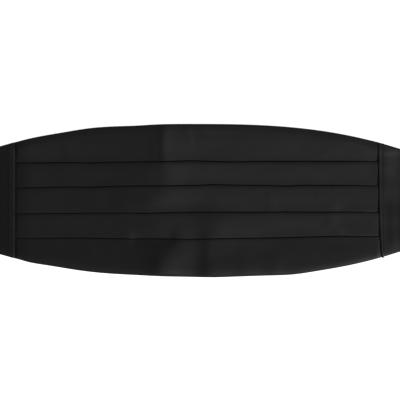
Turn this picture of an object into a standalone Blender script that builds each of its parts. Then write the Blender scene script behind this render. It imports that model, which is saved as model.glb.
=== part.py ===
"""A pleated evening cummerbund, laid out flat with its front up.

The pleated front lies in the middle, with +Y towards its upper edge, +X to its wearer's left and +Z up.
A tapering wing is lapped over each end of the front. A strap of elastic leaves each wing: the left one is
sewn round a wire ring, and the right one runs through a slide, round a hook, and back to the slide.
Every cloth is a surface at the middle of its thickness, which a Solidify modifier makes into a wall.
"""

import math

import bmesh
import bpy
from mathutils import Vector

MM = 0.001

# Cloth, in millimetres.
CLOTH = 1.0  # satin and its interfacing, or the elastic of the straps
GAP = 0.3  # between two pieces or layers that lie on each other
LAYER = CLOTH + GAP  # from one layer's middle to the next one's
BEND = LAYER / 2  # radius of a fold, at the middle of the cloth
BEND_STEPS = 4
LEVEL = [CLOTH / 2 + n * LAYER for n in range(4)]  # heights of stacked layers above the table

# The pleated front and its outline.
FRONT_HEIGHT = 127.0  # at the middle
SEAM = {-1: 152.3, 1: 150.5}  # from the middle to where each wing's edge lies on the pleats
SEAM_DROP = {-1: 15.3, 1: 15.5}  # how much lower half of the front is at a seam than at the middle
OUTLINE_POWER = {-1: 2.5, 1: 2.75}  # how long the outline stays level before it falls away
HEM = 6.0  # cloth turned under along the upper and lower edges
UNDERLAY = 6.0  # depth of cloth tucked in behind each pleat
LEAD = 1.6  # where a band has come down to the table, before it goes under the next fold
BAND_STEPS = 4
FRONT_STATIONS = 25

# Heights of the four pleat folds at the left seam, the middle and the right seam. Each fold faces up.
FOLDS = [
    {"left": 30.9, "middle": 31.9, "right": 32.3},
    {"left": 10.1, "middle": 12.2, "right": 12.1},
    {"left": -11.3, "middle": -10.1, "right": -9.8},
    {"left": -31.4, "middle": -31.8, "right": -29.7},
]

# The wings.
LAP = 8.0  # of the front's end under the wing's edge
BESIDE_FRONT = GAP + 0.1  # from the front's end to the first hems of the wing
RIDGE = 3.1  # from the wing's edge to the stitches that hold it down
RIDGE_LIFT = 0.35
SAG = 0.6  # of the wing's edge between two folds
SETTLE = 9.0  # over which the wing comes down from the pleats to the table
SEAM_LEAN = {-1: 0.0, 1: 0.7}  # how far a seam leans outwards at its lower end and inwards at its upper end
SEAM_CURVE = {-1: 0.0, 1: 1.6}  # how much further its lower end curves outwards
WING_END = 286.0  # from the middle of the front to the outer end of a wing
WING_END_HALF = 14.3
WING_END_SLOPE = -0.04
WING_STATIONS = 13
SPAN_STEPS = 4

# The straps.
STRAP_WIDTH = 25.4
STRAP_TUCK = 18.0  # of a strap under the end of its wing
STRAP_BESIDE_HEM = 0.3
ARC_STEP = math.radians(30)
RAMP_STEPS = 8
OVER_BAR_Z = 5.8  # of the strap's middle where it crosses the slide's middle bar
OVER_BAR_HALF = 1.0  # half of its level stretch there
BESIDE_SLOT = 0.15  # from a slot's outer edge to where the strap is down
HOOK_RISE = 17.0  # from the hook's bar to where the upper layer leaves the lower one
HOOK_FALL = 10.0  # from the hook's bar to where the lower layer is down
HOOK_WRAP = 0.6  # of the upper layer that lies level before the bar
SEWN_LOOP_START = 5.5  # from the slide's middle to where the strap's end leaves the table
SEWN_LOOP_RISE = {"along": 4.2, "up": 0.15}  # the next point of it
SEWN_LOOP_END = {"along": 0.15, "up": 0.35}  # its last point, past and above the bar's lower edge

# The slide, a flat plate with two slots, which the strap tilts a little.
SLIDE_X = 340.0
SLIDE_BAR = 2.5
SLIDE_SLOT = 7.0
SLIDE_PITCH = SLIDE_BAR + SLIDE_SLOT
SLIDE_THICK = 1.6
SLIDE_MIDDLE_Z = 2.75
SLIDE_RISE = 0.65  # from one bar to the next
SLIDE_HALF_WIDTH = 16.3
SLOT_HALF_WIDTH = 13.1
PLATE_CORNER = 2.5
SLOT_CORNER = 0.8
PLATE_EDGE = 0.35  # rounding of the plates' edges

# The hook, a plate with a slot for the strap and a tongue bent back beneath it.
HOOK_X = 415.0
HOOK_Z = 4.0
HOOK_BAR = 2.0
HOOK_SLOT = 6.0
HOOK_BODY = 6.0
HOOK_THICK = 1.6
TONGUE_HALF_WIDTH = 7.0
TONGUE_THICK = 1.2
TONGUE_REACH = 19.4  # from the bar's middle to the furthest point
TONGUE_DEPTH = 3.4  # between the middles of its two legs
TONGUE_RETURN = 8.0
TONGUE_ROOT = 1.2  # of it inside the plate
TONGUE_LIP = 0.35  # by which its end rises

# The ring, bent from wire.
RING_WIRE = 1.0  # radius
RING_LENGTH = 12.0
RING_HALF_WIDTH = 15.3
RING_CORNER = 2.6
RING_TAB = 22.0  # of the strap's end, sewn back on itself
RING_LOOP = 10.0  # from the bar to where the strap's end lies on the strap
RING_X = RING_LENGTH + RING_WIRE - HOOK_X - TONGUE_REACH  # the ring reaches as far out as the hook


def smooth(t):
    """0 to 1 with level ends."""
    t = min(max(t, 0.0), 1.0)
    return t * t * (3 - 2 * t)


def between(a, b, t):
    return a + (b - a) * t


def side_of(x):
    return 1 if x > 0 else -1


def outline(x):
    """Half of the garment's height at x, from its middle line to its folded edge."""
    side = side_of(x)
    half, seam, drop, power = FRONT_HEIGHT / 2, SEAM[side], SEAM_DROP[side], OUTLINE_POWER[side]
    at_seam = half - drop
    seam_slope = -power * drop / seam
    if abs(x) <= seam:
        return half - drop * (abs(x) / seam) ** power
    span = WING_END - seam
    t = (abs(x) - seam) / span
    return (
        (1 + 2 * t) * (1 - t) ** 2 * at_seam
        + t * (1 - t) ** 2 * span * seam_slope
        + t * t * (3 - 2 * t) * WING_END_HALF
        + t * t * (t - 1) * span * WING_END_SLOPE
    )


def edge_bend(x):
    """y of the centre of the bend along the upper edge, whose cloth then reaches the outline."""
    return outline(x) - CLOTH / 2 - BEND


def fold_lines(x):
    """y of each pleat's folded edge at x, from the top one down."""
    t = x / SEAM[side_of(x)]
    return [
        f["middle"] + (f["right"] - f["left"]) / 2 * t + ((f["right"] + f["left"]) / 2 - f["middle"]) * t * t
        for f in FOLDS
    ]


def face_height(x, y):
    """Height of the middle of the front's visible cloth. A band leaves its fold on top of its underlay,
    and comes down to the table before it goes under the next fold."""
    folds = fold_lines(x)
    if y > folds[0]:
        low, high = folds[0] + LEAD, outline(x) - HEM
        return between(LEVEL[0], LEVEL[1], smooth((y - low) / (high - low)))
    band = sum(y <= fold for fold in folds) - 1
    high = folds[band] - UNDERLAY
    if band == len(folds) - 1:
        low = -edge_bend(x)
        return between(LEVEL[1], LEVEL[2], smooth((y - low) / (high - low)))
    low = folds[band + 1] + LEAD
    return between(LEVEL[0], LEVEL[2], smooth((y - low) / (high - low)))


def bend(y, low, high, side):
    """A half turn of cloth from height low to height high, bulging towards side."""
    centre, radius = (low + high) / 2, abs(high - low) / 2
    direction = 1 if high > low else -1
    points = []
    for step in range(BEND_STEPS + 1):
        angle = math.pi * (step / BEND_STEPS - 0.5)
        points.append((y + side * BEND * math.cos(angle), centre + direction * radius * math.sin(angle)))
    return points


def front_section(x):
    """(y, z) along the front's cloth at x, from the raw edge of its upper hem to that of its lower hem."""
    folds, edge = fold_lines(x), edge_bend(x)
    points = [(outline(x) - HEM, LEVEL[0])]
    points += bend(edge, LEVEL[0], LEVEL[1], 1)
    band_start = edge
    for fold in folds:
        band_end = fold + LEAD
        points += band_points(x, band_start, band_end)
        points += bend(fold - UNDERLAY, LEVEL[0], LEVEL[1], -1)
        outer = fold - CLOTH / 2 - BEND
        points += bend(outer, LEVEL[1], LEVEL[2], 1)
        band_start = fold - UNDERLAY
        points.append((band_start, LEVEL[2]))
    points += band_points(x, band_start, -edge)[:-1]
    points += bend(-edge, LEVEL[1], LEVEL[0], -1)
    points.append((HEM - outline(x), LEVEL[0]))
    return points


def band_points(x, start, end):
    """The slope of a band, without its first point."""
    ys = [between(start, end, step / (BAND_STEPS + 1)) for step in range(1, BAND_STEPS + 2)]
    return [(y, face_height(x, y)) for y in ys]


def spans(x):
    """(fold, upper) for each stretch of y that a wing's edge bridges, from a fold to what it next lies on."""
    folds = fold_lines(x)
    return list(zip(folds, [outline(x) - HEM] + [fold - UNDERLAY for fold in folds[:-1]]))


def lap_places(x):
    """y of each point across a wing's edge, so that it follows the pleats beneath it."""
    lowest_band = (-edge_bend(x), fold_lines(x)[-1] - UNDERLAY)
    places = [outline(x)]
    for low, high in spans(x) + [lowest_band]:
        places += [between(high, low, step / SPAN_STEPS) for step in range(SPAN_STEPS + 1)]
    return places + [-outline(x)]


def lap_height(x, y):
    """Height of a wing's edge where it lies on the pleats. It sags a little from one fold to the next."""
    below = face_height(x, y)
    for number, (fold, upper) in enumerate(spans(x)):
        if fold <= y <= upper:
            share = (y - fold) / (upper - fold)
            far = LEVEL[1] if number == 0 else LEVEL[2]
            below = between(LEVEL[2], far, smooth(share)) - SAG * math.sin(math.pi * share) ** 2
    return below + LAYER


def wing_height(side, out, y):
    """Height of a wing's cloth at a distance out from the seam: on the pleats, then down to its own hems."""
    lap = lap_height(side * (SEAM[side] + min(out, LAP)), y)
    if out < RIDGE:
        lap += RIDGE_LIFT * math.sin(math.pi * out / RIDGE)
    return between(lap, LEVEL[1], smooth((out - LAP - LAYER) / SETTLE))


def seam_lean(side, share):
    """How far outwards a seam lies. share is 1 at its upper end and -1 at its lower end."""
    return SEAM_CURVE[side] * max(-share, 0.0) ** 3 - SEAM_LEAN[side] * share


def wing_row(side, out):
    """The points of a wing across its height at a distance out from the seam. Beside the front's end the
    wing has hems, and over the front it has none, so their points are missing there."""
    x = side * (SEAM[side] + out)
    half, edge = outline(x), edge_bend(x)
    hem = min(HEM, half - STRAP_WIDTH / 2 - STRAP_BESIDE_HEM)
    on_front = out <= LAP
    lap_end = side * (SEAM[side] + LAP)
    places = lap_places(x) if on_front else [y * edge / outline(lap_end) for y in lap_places(lap_end)]
    face = []
    for y in places:
        lean = seam_lean(side, y / half) * (1 - smooth(out / LAP))
        face.append((x + side * lean, y, wing_height(side, out, y)))
    if on_front:
        missing = [None] * (BEND_STEPS + 1)
        return missing + face + missing
    top_edge = [(x, y, z) for y, z in bend(edge, LEVEL[0], face[0][2], 1)[:-1]]
    low_edge = [(x, y, z) for y, z in bend(-edge, face[-1][2], LEVEL[0], -1)[1:]]
    return [(x, half - hem, LEVEL[0])] + top_edge + face + low_edge + [(x, hem - half, LEVEL[0])]


def wing_rows(side):
    on_front = [0.0, RIDGE / 3, 2 * RIDGE / 3, RIDGE, LAP]
    beside = LAP + BESIDE_FRONT
    coming_down = [beside + SETTLE * step / 4 for step in range(5)]
    first, last = coming_down[-1], WING_END - SEAM[side]
    rest = [between(first, last, step / WING_STATIONS) for step in range(1, WING_STATIONS + 1)]
    return [wing_row(side, out) for out in on_front + coming_down + rest]


def ramp(start, end):
    """Points that ease from one height to another, without the first one."""
    points = []
    for step in range(1, RAMP_STEPS + 1):
        t = step / RAMP_STEPS
        points.append((between(start[0], end[0], t), between(start[1], end[1], (1 - math.cos(math.pi * t)) / 2)))
    return points


def arc(x, z, radius, first, last):
    """Points round a centre from angle first to angle last, in degrees from +X towards +Z."""
    first, last = math.radians(first), math.radians(last)
    count = max(1, round(abs(last - first) / ARC_STEP))
    angles = [between(first, last, step / count) for step in range(count + 1)]
    return [(x + radius * math.cos(a), z + radius * math.sin(a)) for a in angles]


def left_strap_path():
    """(x, z) of the left strap: out from the wing, under the ring's bar, round it and back on itself."""
    ring_z = left_ring_height()
    turn = RING_WIRE + GAP + CLOTH / 2
    back = RING_X + RING_LOOP
    path = [(-(WING_END - STRAP_TUCK), LEVEL[0]), (-WING_END, LEVEL[0]), (back, LEVEL[0])]
    path += arc(RING_X, ring_z, turn, -90, -270)
    path += ramp(path[-1], (back, LEVEL[1]))
    path.append((RING_X + RING_TAB, LEVEL[1]))
    return path


def left_ring_height():
    """Height of the bar that the left strap's lower layer passes under."""
    return LEVEL[0] + CLOTH / 2 + GAP + RING_WIRE


def right_strap_path():
    """(x, z) of the right strap: out from the wing, under the slide's first bar, over its middle bar, under
    its last bar, over and round the hook's bar, back along the table, and round the slide's middle bar."""
    clear = SLIDE_PITCH - SLIDE_BAR / 2 + BESIDE_SLOT
    turn = math.hypot(HOOK_BAR / 2, HOOK_THICK / 2) + GAP + CLOTH / 2
    path = [(WING_END - STRAP_TUCK, LEVEL[0]), (WING_END, LEVEL[0]), (SLIDE_X - clear, LEVEL[0])]
    path += ramp(path[-1], (SLIDE_X - OVER_BAR_HALF, OVER_BAR_Z))
    path.append((SLIDE_X + OVER_BAR_HALF, OVER_BAR_Z))
    path += ramp(path[-1], (SLIDE_X + clear, LEVEL[1]))
    path.append((HOOK_X - HOOK_RISE, LEVEL[1]))
    path += ramp(path[-1], (HOOK_X - HOOK_WRAP, HOOK_Z + turn))
    path += arc(HOOK_X, HOOK_Z, turn, 90, -90)
    path += ramp(path[-1], (HOOK_X - HOOK_FALL, LEVEL[0]))
    return path + slide_loop()


def slide_loop():
    """The end of the right strap, sewn round the slide's middle bar."""
    half = SLIDE_BAR / 2
    turn = GAP + CLOTH / 2
    top = SLIDE_MIDDLE_Z + SLIDE_THICK / 2
    low = SLIDE_MIDDLE_Z - SLIDE_THICK / 2
    path = [(SLIDE_X + SEWN_LOOP_START, LEVEL[0])]
    path.append((SLIDE_X + SEWN_LOOP_RISE["along"], LEVEL[0] + SEWN_LOOP_RISE["up"]))
    path += arc(SLIDE_X + half, low, turn, -70, -90)
    path += arc(SLIDE_X - half, low, turn, -90, -180)
    path += arc(SLIDE_X - half, top, turn, 180, 90)
    path += arc(SLIDE_X + half, top, turn, 90, 0)
    path.append((SLIDE_X + half + turn + SEWN_LOOP_END["along"], low + turn + SEWN_LOOP_END["up"]))
    return path


def metres(point):
    return Vector(point) * MM


def finish(name, smooth_angle=50):
    """Smooth shading over the soft edges of the newest object."""
    obj = bpy.data.objects[name]
    obj.data.shade_smooth()
    obj.data.set_sharp_from_angle(angle=math.radians(smooth_angle))
    return obj


def new_object(name, mesh, material, collection):
    obj = bpy.data.objects.new(name, mesh)
    obj.data.materials.append(material)
    collection.objects.link(obj)
    return obj


def cloth_object(name, rows, material, collection):
    """A wall of cloth round a surface through rows of points. A cell is left out where a point is missing."""
    mesh = bpy.data.meshes.new(name)
    bm = bmesh.new()
    grid = [[None if point is None else bm.verts.new(metres(point)) for point in row] for row in rows]
    for row, following in zip(grid, grid[1:]):
        for j in range(len(row) - 1):
            corners = [row[j], row[j + 1], following[j + 1], following[j]]
            if None not in corners:
                bm.faces.new(corners)
    bm.to_mesh(mesh)
    bm.free()
    obj = new_object(name, mesh, material, collection)
    wall = obj.modifiers.new("wall", "SOLIDIFY")
    wall.thickness = CLOTH * MM
    wall.offset = 0.0
    wall.use_even_offset = True
    return finish(name)


def ribbon(name, path, width, material, collection):
    """A strap of cloth that follows a path of (x, z) and is level across its width."""
    rows = [[(x, width / 2, z), (x, -width / 2, z)] for x, z in path]
    return cloth_object(name, rows, material, collection)


def rounded_rectangle(x_low, x_high, half_width, corner):
    """Points round a rectangle with round corners, anticlockwise."""
    centres = [
        (x_high - corner, half_width - corner, 0),
        (x_low + corner, half_width - corner, 90),
        (x_low + corner, corner - half_width, 180),
        (x_high - corner, corner - half_width, 270),
    ]
    return [point for x, y, angle in centres for point in arc(x, y, corner, angle, angle + 90)]


def plate_mesh(name, outlines, thick, edge):
    """A flat plate with holes: the first outline is its rim and the others are its slots."""
    curve = bpy.data.curves.new(name, "CURVE")
    curve.dimensions = "2D"
    curve.fill_mode = "BOTH"
    curve.extrude = (thick / 2 - edge) * MM
    curve.bevel_depth = edge * MM
    curve.bevel_resolution = 1
    curve.offset = -edge * MM
    for points in outlines:
        spline = curve.splines.new("POLY")
        spline.points.add(len(points) - 1)
        spline.use_cyclic_u = True
        for target, (x, y) in zip(spline.points, points):
            target.co = (x * MM, y * MM, 0.0, 1.0)
    holder = bpy.data.objects.new(name + "_outline", curve)
    bpy.context.scene.collection.objects.link(holder)
    graph = bpy.context.evaluated_depsgraph_get()
    mesh = bpy.data.meshes.new_from_object(holder.evaluated_get(graph))
    mesh.name = name
    bpy.data.objects.remove(holder)
    bm = bmesh.new()
    bm.from_mesh(mesh)
    bmesh.ops.remove_doubles(bm, verts=bm.verts, dist=0.01 * MM)
    bm.to_mesh(mesh)
    bm.free()
    mesh.materials.clear()
    return mesh


def slide(material, collection):
    """The slide: a plate with two slots, tilted by the layers of strap beneath its outer bar."""
    half = SLIDE_PITCH + SLIDE_BAR / 2
    slots = [
        rounded_rectangle(low, low + SLIDE_SLOT, SLOT_HALF_WIDTH, SLOT_CORNER)
        for low in (SLIDE_BAR / 2, -SLIDE_BAR / 2 - SLIDE_SLOT)
    ]
    rim = rounded_rectangle(-half, half, SLIDE_HALF_WIDTH, PLATE_CORNER)
    mesh = plate_mesh("slide", [rim] + slots, SLIDE_THICK, PLATE_EDGE)
    obj = new_object("slide", mesh, material, collection)
    obj.location = metres((SLIDE_X, 0, SLIDE_MIDDLE_Z))
    obj.rotation_euler = (0, -math.atan2(SLIDE_RISE, SLIDE_PITCH), 0)
    return finish("slide")


def tongue_path():
    """(x, z) of the hook's tongue from inside the plate, out, down and back beneath."""
    turn = TONGUE_DEPTH / 2
    out = TONGUE_REACH - turn - TONGUE_THICK / 2
    root = [(HOOK_BAR / 2 + HOOK_SLOT + TONGUE_ROOT, 0.0)]
    return root + arc(out, -turn, turn, 90, -90) + [(out - TONGUE_RETURN, TONGUE_LIP - TONGUE_DEPTH)]


def hook(material, collection, cutters):
    """The hook, with its origin on the bar that the strap goes round."""
    end = HOOK_BAR / 2 + HOOK_SLOT + HOOK_BODY
    rim = rounded_rectangle(-HOOK_BAR / 2, end, SLIDE_HALF_WIDTH, PLATE_CORNER)
    slot = rounded_rectangle(HOOK_BAR / 2, HOOK_BAR / 2 + HOOK_SLOT, SLOT_HALF_WIDTH, SLOT_CORNER)
    obj = new_object("hook", plate_mesh("hook", [rim, slot], HOOK_THICK, PLATE_EDGE), material, collection)
    rows = [[(x, TONGUE_HALF_WIDTH, z), (x, -TONGUE_HALF_WIDTH, z)] for x, z in tongue_path()]
    tongue = cloth_object("hook_tongue", rows, material, cutters)
    tongue.modifiers["wall"].thickness = TONGUE_THICK * MM
    tongue.hide_render = True
    tongue.display_type = "WIRE"
    join = obj.modifiers.new("tongue", "BOOLEAN")
    join.operation = "UNION"
    join.object = tongue
    for piece in (obj, tongue):
        piece.location = metres((HOOK_X, 0, HOOK_Z))
    return finish("hook")


def ring(material, collection):
    """The ring of wire, with its origin on the bar that the strap goes round and its far bar on the table."""
    drop = left_ring_height() - RING_WIRE
    curve = bpy.data.curves.new("ring", "CURVE")
    curve.dimensions = "3D"
    curve.bevel_depth = RING_WIRE * MM
    curve.bevel_resolution = 2
    points = rounded_rectangle(-RING_LENGTH, 0.0, RING_HALF_WIDTH, RING_CORNER)
    spline = curve.splines.new("POLY")
    spline.points.add(len(points) - 1)
    spline.use_cyclic_u = True
    for target, (x, y) in zip(spline.points, points):
        target.co = (x * MM, y * MM, 0.0, 1.0)
    obj = new_object("ring", curve, material, collection)
    obj.location = metres((RING_X, 0, left_ring_height()))
    obj.rotation_euler = (0, -math.asin(drop / RING_LENGTH), 0)
    return obj


def finish_material(name, colour, roughness, metallic=0.0):
    material = bpy.data.materials.new(name)
    material.use_nodes = True
    shader = material.node_tree.nodes["Principled BSDF"]
    shader.inputs["Base Color"].default_value = (*colour, 1.0)
    shader.inputs["Roughness"].default_value = roughness
    shader.inputs["Metallic"].default_value = metallic
    return material


def front_panel(material, collection):
    """The pleated front: one cloth, folded over on itself at each pleat and turned under at its edges."""
    left, right = -SEAM[-1] - LAP, SEAM[1] + LAP
    stations = [between(left, right, step / FRONT_STATIONS) for step in range(FRONT_STATIONS + 1)]
    rows = [[(x, y, z) for y, z in front_section(x)] for x in stations]
    return cloth_object("front_pleats", rows, material, collection)


def main():
    for obj in list(bpy.data.objects):
        bpy.data.objects.remove(obj)
    garment = bpy.data.collections.new("cummerbund")
    cutters = bpy.data.collections.new("cutters")
    for collection in (garment, cutters):
        bpy.context.scene.collection.children.link(collection)

    satin = finish_material("black_satin", (0.012, 0.012, 0.012), 0.45)
    elastic = finish_material("black_elastic", (0.016, 0.016, 0.016), 0.75)
    enamel = finish_material("black_enamel", (0.014, 0.014, 0.014), 0.3, metallic=0.2)

    front_panel(satin, garment)
    for name, side in (("wing_left", -1), ("wing_right", 1)):
        cloth_object(name, wing_rows(side), satin, garment)
    ribbon("strap_left", left_strap_path(), STRAP_WIDTH, elastic, garment)
    ribbon("strap_right", right_strap_path(), STRAP_WIDTH, elastic, garment)
    slide(enamel, garment)
    hook(enamel, garment, cutters)
    ring(enamel, garment)


main()
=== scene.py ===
"""The looks of a black satin cummerbund that lies flat with its front up, seen from straight above.

Lengths are in millimetres until a mesh is made. +Y is towards the front's upper edge and +Z is up.
Each cloth is a fine surface at the middle of its thickness, made solid by a Solidify modifier.
"""

import math

import bmesh
import bpy
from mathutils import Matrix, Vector, noise


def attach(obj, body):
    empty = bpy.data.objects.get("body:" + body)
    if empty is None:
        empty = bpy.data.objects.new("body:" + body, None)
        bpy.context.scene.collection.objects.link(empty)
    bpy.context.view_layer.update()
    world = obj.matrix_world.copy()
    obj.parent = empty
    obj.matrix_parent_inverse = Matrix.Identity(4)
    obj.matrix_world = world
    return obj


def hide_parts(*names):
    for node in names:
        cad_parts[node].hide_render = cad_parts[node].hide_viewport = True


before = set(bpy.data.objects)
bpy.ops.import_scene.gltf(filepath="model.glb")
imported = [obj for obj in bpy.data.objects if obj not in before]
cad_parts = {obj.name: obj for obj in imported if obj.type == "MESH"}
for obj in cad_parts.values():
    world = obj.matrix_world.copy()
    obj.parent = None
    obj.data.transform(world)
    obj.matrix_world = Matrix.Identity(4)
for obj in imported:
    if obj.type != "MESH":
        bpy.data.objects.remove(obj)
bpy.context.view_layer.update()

MM = 0.001
SIDES = {"wing_left": -1, "wing_right": 1}
CLEAR = 0.05  # air between a cloth and the one that it lies on

# Satin.
SATIN = 0.38  # thickness, with its interfacing
LAYER = 1.0  # from the middle of one layer to the middle of the next, with the air between them
LEVEL = [SATIN / 2 + n * LAYER for n in range(3)]
BEND = LAYER / 2
BEND_STEPS = 6

# The pleated front. Its outline, hems and fold lines are the solids', and its seams are within 0.2 mm of
# theirs. The strays are the scene's own.
FRONT_HEIGHT = 127.0
SEAM = {-1: 152.1, 1: 150.7}  # from the middle to each wing's edge
SEAM_DROP = {-1: 15.3, 1: 15.5}
OUTLINE_POWER = {-1: 2.5, 1: 2.75}
HEM = 6.0
UNDERLAY = 6.0
FOLDS = [
    {"left": 30.9, "middle": 31.9, "right": 32.3},
    {"left": 10.1, "middle": 12.2, "right": 12.1},
    {"left": -11.3, "middle": -10.1, "right": -9.8},
    {"left": -31.4, "middle": -31.8, "right": -29.7},
]
STRAYS = [  # where a fold was pressed off its line, upwards by so much
    {"fold": 0, "x": -88.0, "by": -0.5, "spread": 10.0},
    {"fold": 0, "x": -7.0, "by": 0.8, "spread": 16.0},
    {"fold": 1, "x": -88.0, "by": -0.45, "spread": 10.0},
    {"fold": 1, "x": 13.0, "by": 0.65, "spread": 13.0},
    {"fold": 1, "x": 73.0, "by": -0.6, "spread": 12.0},
    {"fold": 2, "x": -42.0, "by": -0.35, "spread": 14.0},
    {"fold": 3, "x": -98.0, "by": 0.5, "spread": 30.0},
    {"fold": 3, "x": -5.0, "by": -0.5, "spread": 20.0},
    {"fold": 3, "x": 113.0, "by": 0.5, "spread": 18.0},
]
WANDER = 0.25  # of every fold, in waves of this length
WANDER_WAVE = 26.0
WANDER_PLACE = 0.4  # where these waves are read from the noise
WANDER_APART = 3.7  # from fold to fold there, so that each one wanders by itself
EDGE_STRAYS = [  # where the upper edge, 1, or the lower one, -1, lies off its line, outwards by so much
    {"edge": 1, "x": -138.0, "out": 0.25, "spread": 14.0},
    {"edge": 1, "x": -88.0, "out": 0.55, "spread": 17.0},
    {"edge": 1, "x": -51.0, "out": -0.45, "spread": 13.0},
    {"edge": 1, "x": 100.0, "out": -0.27, "spread": 65.0},
    {"edge": -1, "x": -141.0, "out": 0.5, "spread": 11.0},
    {"edge": -1, "x": -114.0, "out": -0.25, "spread": 13.0},
    {"edge": -1, "x": -52.0, "out": -0.38, "spread": 20.0},
    {"edge": -1, "x": 12.0, "out": 0.5, "spread": 18.0},
    {"edge": -1, "x": 79.0, "out": 0.85, "spread": 18.0},
]
EDGE_ZONE = 14.0  # over which an edge's stray fades, inwards from the edge and along it to each seam
FRONT_PITCH = 1.75  # between the sections of the front, and next to the seams
SEAM_PITCH = 0.7
SEAM_ZONE = 7.0  # from a seam to where the wider pitch starts
BAND_POINTS = 13
EDGE_BAND_POINTS = 22
UNDER_FOLD = 0.6  # from a folded edge to where the band above it goes under it
UNDER_SHARES = (0.25, 0.6)  # points between there and the inner end of the underlay

# How the front's cloth lies between its folds.
ROLL_DEPTH = 0.25  # by which a fold's edge is lower than the cloth behind it
ROLL_LENGTH = 1.05
ROLL_PLACES = (0.4, 0.9, 1.5, 2.2, 3.1)
TOP_EDGE = 2.95  # height of the cloth along the upper edge, which its hem fills out
RIM = 5.0  # over which it rises behind that edge
RIM_RISE = {-1: 0.07, 1: 0.12}
LOW_EDGE = {-1: 1.2, 1: 1.9}  # height of the cloth along the lower edge
LOW_EDGE_CHANGE = 120.0  # over which one becomes the other, in the middle
LOW_RISE = 0.6  # by which the lowest band rises from its fold towards its hem
LOW_RIM = 1.9  # the lower edge rolls down within a few of these
TAILS = (0.5, 0.57, 0.65, 0.75)  # what the band above each fold keeps of its height where it goes under it
SIDE_TAIL = {-1: 0.06, 1: -0.2}  # more of it on the left, and less on the right
SIDE_TAIL_CHANGE = {"middle": -32.0, "over": 60.0}  # from one to the other, at the fold mark
SEAM_TAIL = {-1: 0.25, 1: 0.45}  # more of it at the seams
SEAM_TAIL_FADE = {"from": 8.0, "over": 25.0}  # inwards from a seam
BAND_CREST = 2.5  # from a folded edge down to where its band is highest
BAND_FOOT = 1.0  # from a folded edge up to where the band above it is lowest
BAND_EASE = 0.4  # share of a slope that is rounded
TOP_BAND_EASE = 0.35  # and of the top band's
PRESSED = {  # share of the height that each seam presses out, from one distance inwards to another
    -1: [{"share": 0.38, "from": 3.2, "to": 0.0}, {"share": 0.26, "from": 10.0, "to": -3.0}],
    1: [{"share": 0.14, "from": 1.8, "to": -1.6}, {"share": 0.22, "from": 32.0, "to": -2.0}],
}

# Where the garment was folded for its box, which still lifts it: a line from the upper edge to the lower one.
FOLD_MARK = [
    {"y": 64.0, "x": -28.0, "round": 4.5},
    {"y": 36.0, "x": -29.5, "round": 5.0},
    {"y": 22.0, "x": -32.5, "round": 10.0},
    {"y": 6.0, "x": -35.0, "round": 10.0},
    {"y": -5.0, "x": -40.0, "round": 9.0},
    {"y": -18.0, "x": -30.0, "round": 8.0},
    {"y": -32.0, "x": -31.0, "round": 8.0},
    {"y": -64.0, "x": -33.5, "round": 6.0},
]
FOLD_MARK_HEIGHT = 2.9
FOLD_MARK_LENGTH = 48.0
LIFT_ZONE = 14.0  # over which the fold mark and the creases fade to each seam

WAVES = [  # of cloth that was pressed by hand, with where each is read from the noise
    {"along": 42.0, "across": 16.0, "height": 0.17, "place": 3.1},
    {"along": 13.0, "across": 7.0, "height": 0.06, "place": 8.7},
]
WAVE_ZONE = 10.0  # over which the waves fade to each seam

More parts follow.
